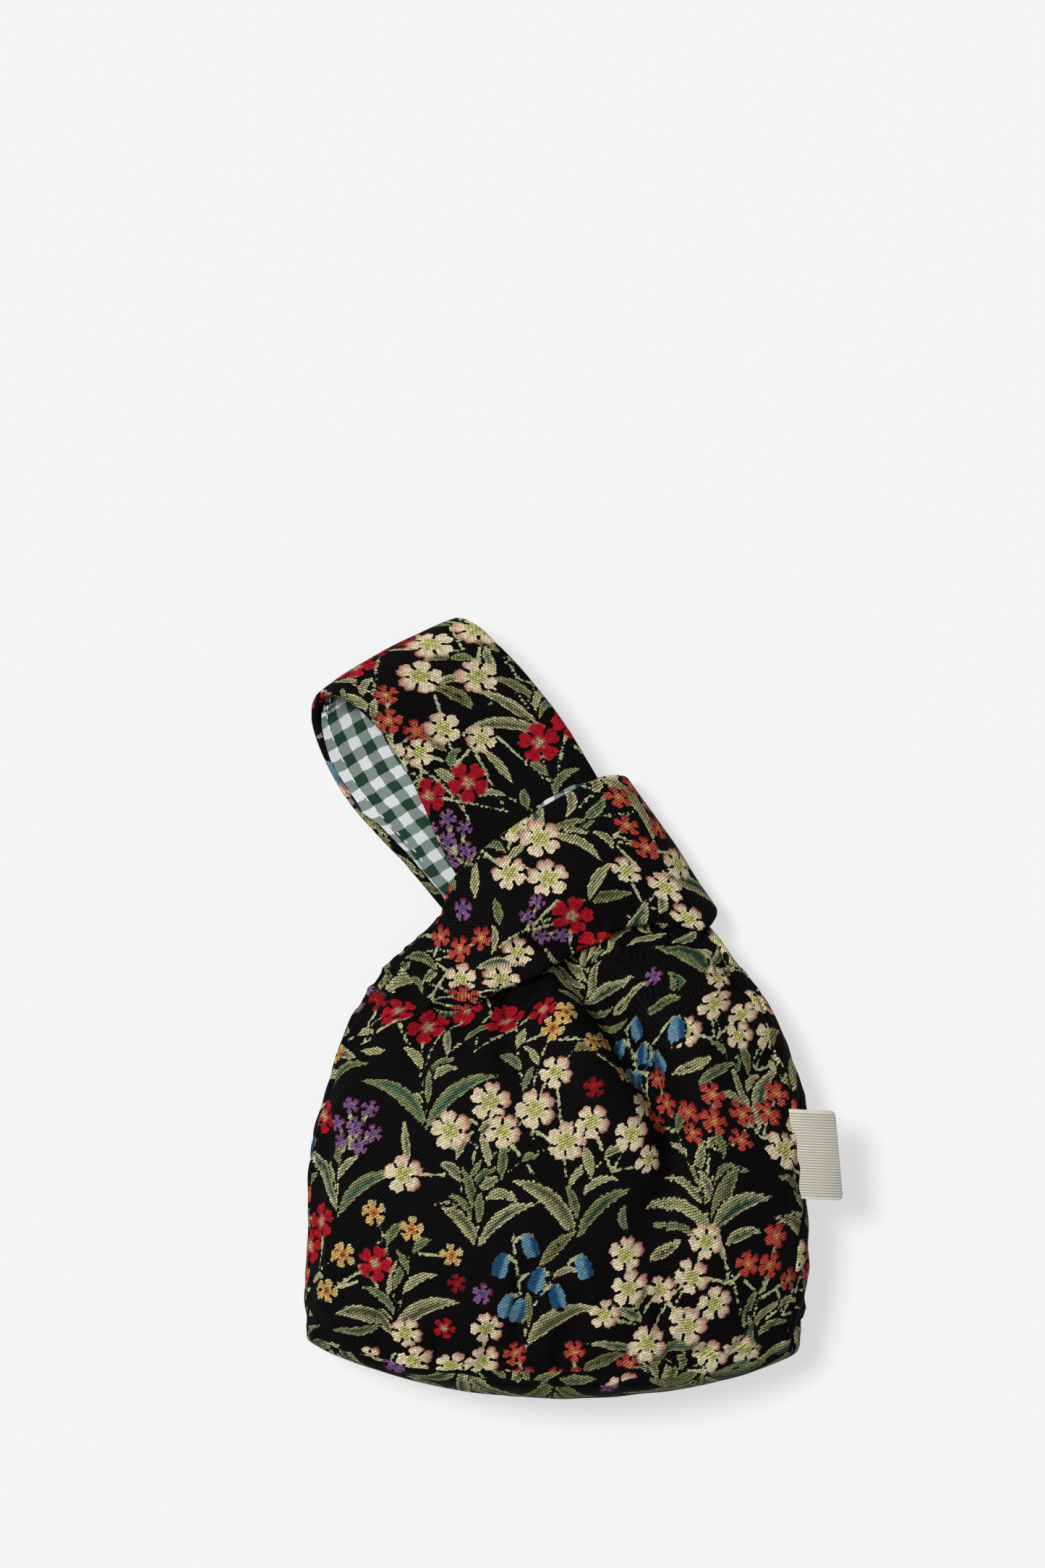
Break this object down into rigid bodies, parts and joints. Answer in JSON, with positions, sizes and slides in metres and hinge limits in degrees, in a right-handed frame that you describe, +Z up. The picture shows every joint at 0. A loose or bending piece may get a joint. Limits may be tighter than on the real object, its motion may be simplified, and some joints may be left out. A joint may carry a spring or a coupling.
{
  "type": "japanese knot bag",
  "caption": "Padded cloth knot bag lying on its back, its long wrist handle drawn through the short one, with a folded ribbon label in the side seam.",
  "frame": {"origin": "on the table, in the middle of the flat patch of the back panel that the bag lies on", "axes": "+Z up from the table, out of the front panel; +Y from the base towards the handles; +X to the side with the label"},
  "size_m": [0.2305, 0.3315, 0.0583],
  "materials": {
    "tapestry_cloth": "jacquard weave of flowers on black",
    "gingham_cloth": "dark green and white checked cotton",
    "fleece": "soft white wadding",
    "ribbon": "ribbed ivory ribbon"
  },
  "bodies": {
    "bag": {"front_panel_shell": "tapestry_cloth", "front_panel_padding": "fleece", "front_panel_lining": "gingham_cloth", "back_panel_shell": "tapestry_cloth", "back_panel_padding": "fleece", "back_panel_lining": "gingham_cloth", "base_shell": "tapestry_cloth", "base_padding": "fleece", "base_lining": "gingham_cloth", "long_handle_front_root_shell": "tapestry_cloth", "long_handle_front_root_interfacing": "fleece", "long_handle_front_root_lining": "gingham_cloth", "long_handle_back_root_shell": "tapestry_cloth", "long_handle_back_root_interfacing": "fleece", "long_handle_back_root_lining": "gingham_cloth"},
    "short_handle": {"short_handle_front_shell": "tapestry_cloth", "short_handle_front_interfacing": "fleece", "short_handle_front_lining": "gingham_cloth", "short_handle_back_shell": "tapestry_cloth", "short_handle_back_interfacing": "fleece", "short_handle_back_lining": "gingham_cloth"},
    "wrist_loop": {"long_handle_front_shell": "tapestry_cloth", "long_handle_front_interfacing": "fleece", "long_handle_front_lining": "gingham_cloth", "long_handle_back_shell": "tapestry_cloth", "long_handle_back_interfacing": "fleece", "long_handle_back_lining": "gingham_cloth"},
    "label": {"side_label": "ribbon"}
  },
  "joints": [
    {"name": "knot_slide", "type": "slide", "parent": "bag", "child": "short_handle", "axis": [-0.6157, 0.788, 0], "range_m": [0, 0.015]},
    {"name": "wrist_loop_lift", "type": "hinge", "parent": "bag", "child": "wrist_loop", "pos_m": [-0.02537, 0.17082, 0.022], "axis": [0.788, 0.6157, 0], "range_deg": [0, 60]},
    {"name": "label_flap", "type": "hinge", "parent": "bag", "child": "label", "pos_m": [0.10299, 0.01566, 0.03466], "axis": [0.1356, -0.9908, 0], "range_deg": [-15, 70], "stiffness_Nm_per_rad": 0.002}
  ]
}
